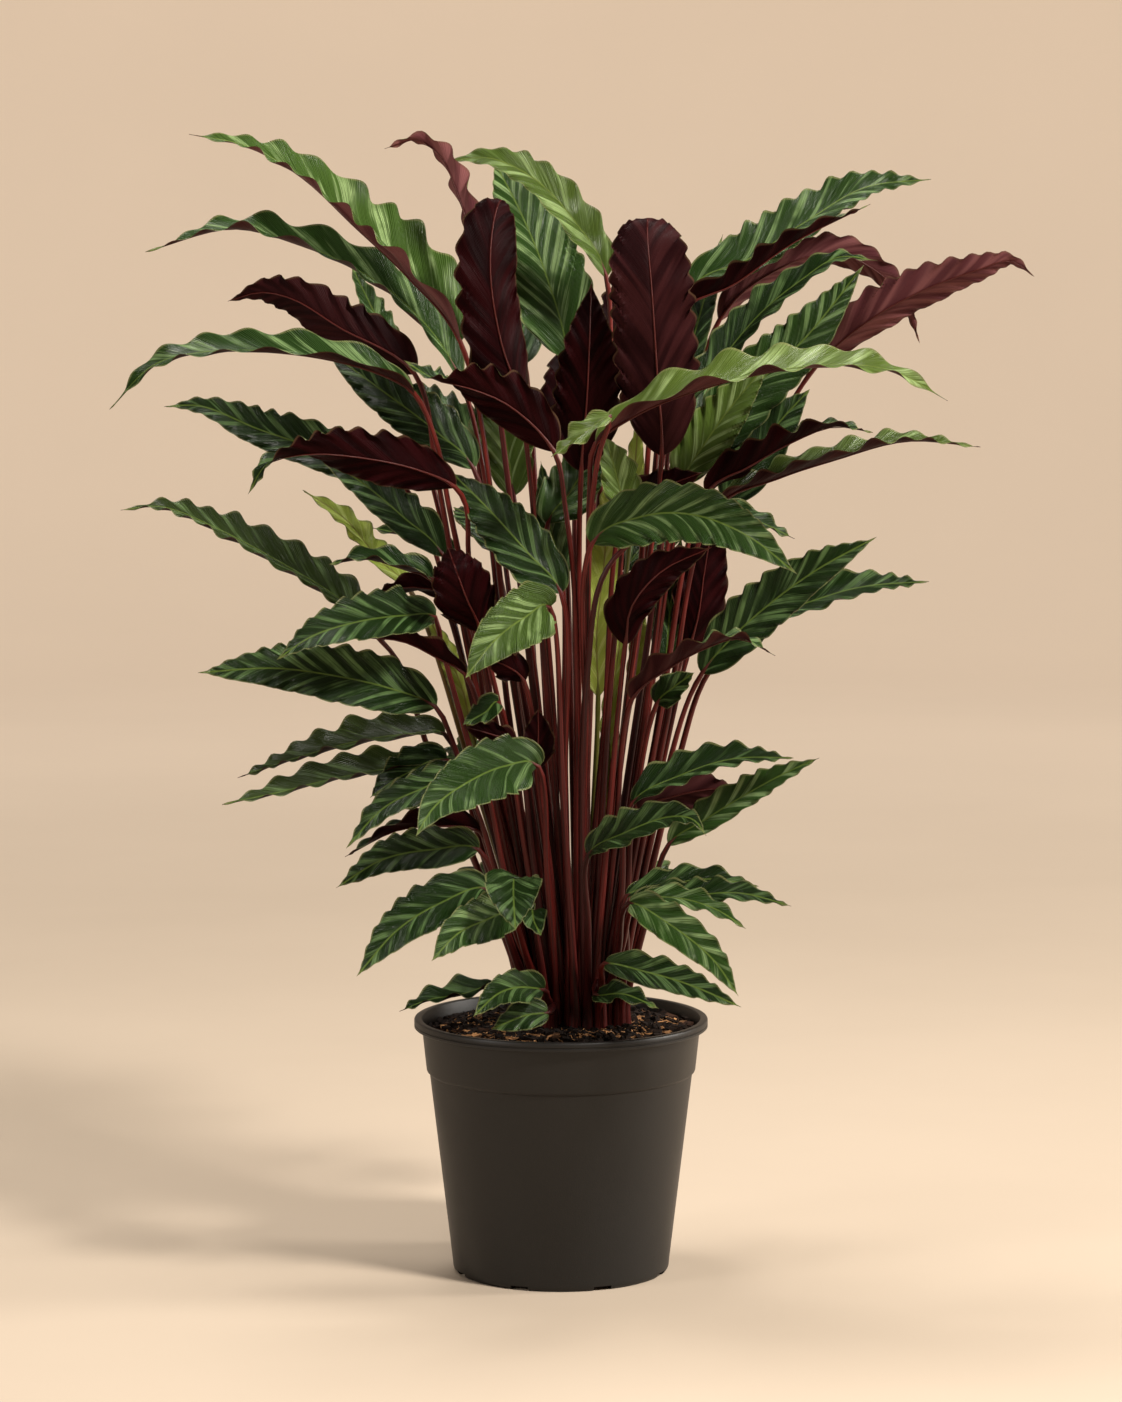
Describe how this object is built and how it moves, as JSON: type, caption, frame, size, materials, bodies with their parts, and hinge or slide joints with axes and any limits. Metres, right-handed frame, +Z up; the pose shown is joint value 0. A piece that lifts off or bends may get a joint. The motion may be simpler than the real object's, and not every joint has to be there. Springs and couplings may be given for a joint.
{
  "type": "potted velvet calathea",
  "caption": "Clump of long waved velvety leaves on slim stalks, green above and burgundy below, in a round nursery pot.",
  "frame": {"origin": "centre of the pot's base, on the surface that it stands on", "axes": "+Z up along the pot's axis, -Y towards the viewer of the picture, +X to the viewer's right"},
  "size_m": [0.6439, 0.38, 0.7994],
  "materials": {
    "pot": "matte, fine texture",
    "soil": "loose peat with bark fibres",
    "leaf_green": "velvety",
    "leaf_pale": "velvety",
    "leaf_yellow": "velvety",
    "leaf_burgundy": "satin"
  },
  "bodies": {
    "root": {"pot": "pot", "soil": "soil", "shoot_left_01": "leaf_green", "shoot_left_02": "leaf_burgundy", "shoot_left_03": "leaf_green", "shoot_left_04": "leaf_green", "shoot_left_05": "leaf_burgundy", "shoot_left_06": "leaf_yellow", "shoot_left_07": "leaf_green", "shoot_left_08": "leaf_green", "shoot_left_09": "leaf_green", "shoot_left_10": "leaf_green", "shoot_left_11": "leaf_pale", "shoot_left_12": "leaf_green", "shoot_left_13": "leaf_green", "shoot_left_14": "leaf_green", "shoot_left_15": "leaf_pale", "shoot_left_16": "leaf_green", "shoot_right_01": "leaf_green", "shoot_right_02": "leaf_green", "shoot_right_03": "leaf_burgundy", "shoot_right_04": "leaf_pale", "shoot_right_05": "leaf_yellow", "shoot_right_06": "leaf_green", "shoot_right_07": "leaf_burgundy", "shoot_right_08": "leaf_pale", "shoot_right_09": "leaf_green", "shoot_right_10": "leaf_green", "shoot_right_11": "leaf_burgundy", "shoot_right_12": "leaf_burgundy", "shoot_right_13": "leaf_burgundy", "shoot_right_14": "leaf_green", "shoot_right_15": "leaf_pale", "shoot_right_16": "leaf_green", "shoot_right_17": "leaf_green", "shoot_right_18": "leaf_pale", "shoot_right_19": "leaf_green", "shoot_centre_01": "leaf_burgundy", "shoot_centre_02": "leaf_pale", "shoot_centre_03": "leaf_burgundy", "shoot_centre_04": "leaf_burgundy", "shoot_centre_05": "leaf_burgundy", "shoot_centre_06": "leaf_pale", "shoot_centre_07": "leaf_green", "shoot_centre_08": "leaf_burgundy", "shoot_centre_09": "leaf_pale", "shoot_centre_10": "leaf_pale", "shoot_centre_11": "leaf_burgundy", "shoot_centre_12": "leaf_yellow", "shoot_centre_13": "leaf_yellow", "shoot_centre_14": "leaf_yellow", "shoot_centre_15": "leaf_burgundy", "shoot_centre_16": "leaf_green", "shoot_back_01": "leaf_green", "shoot_back_02": "leaf_green", "shoot_back_03": "leaf_green", "shoot_back_04": "leaf_green", "shoot_back_05": "leaf_green", "shoot_back_06": "leaf_green"}
  },
  "joints": []
}
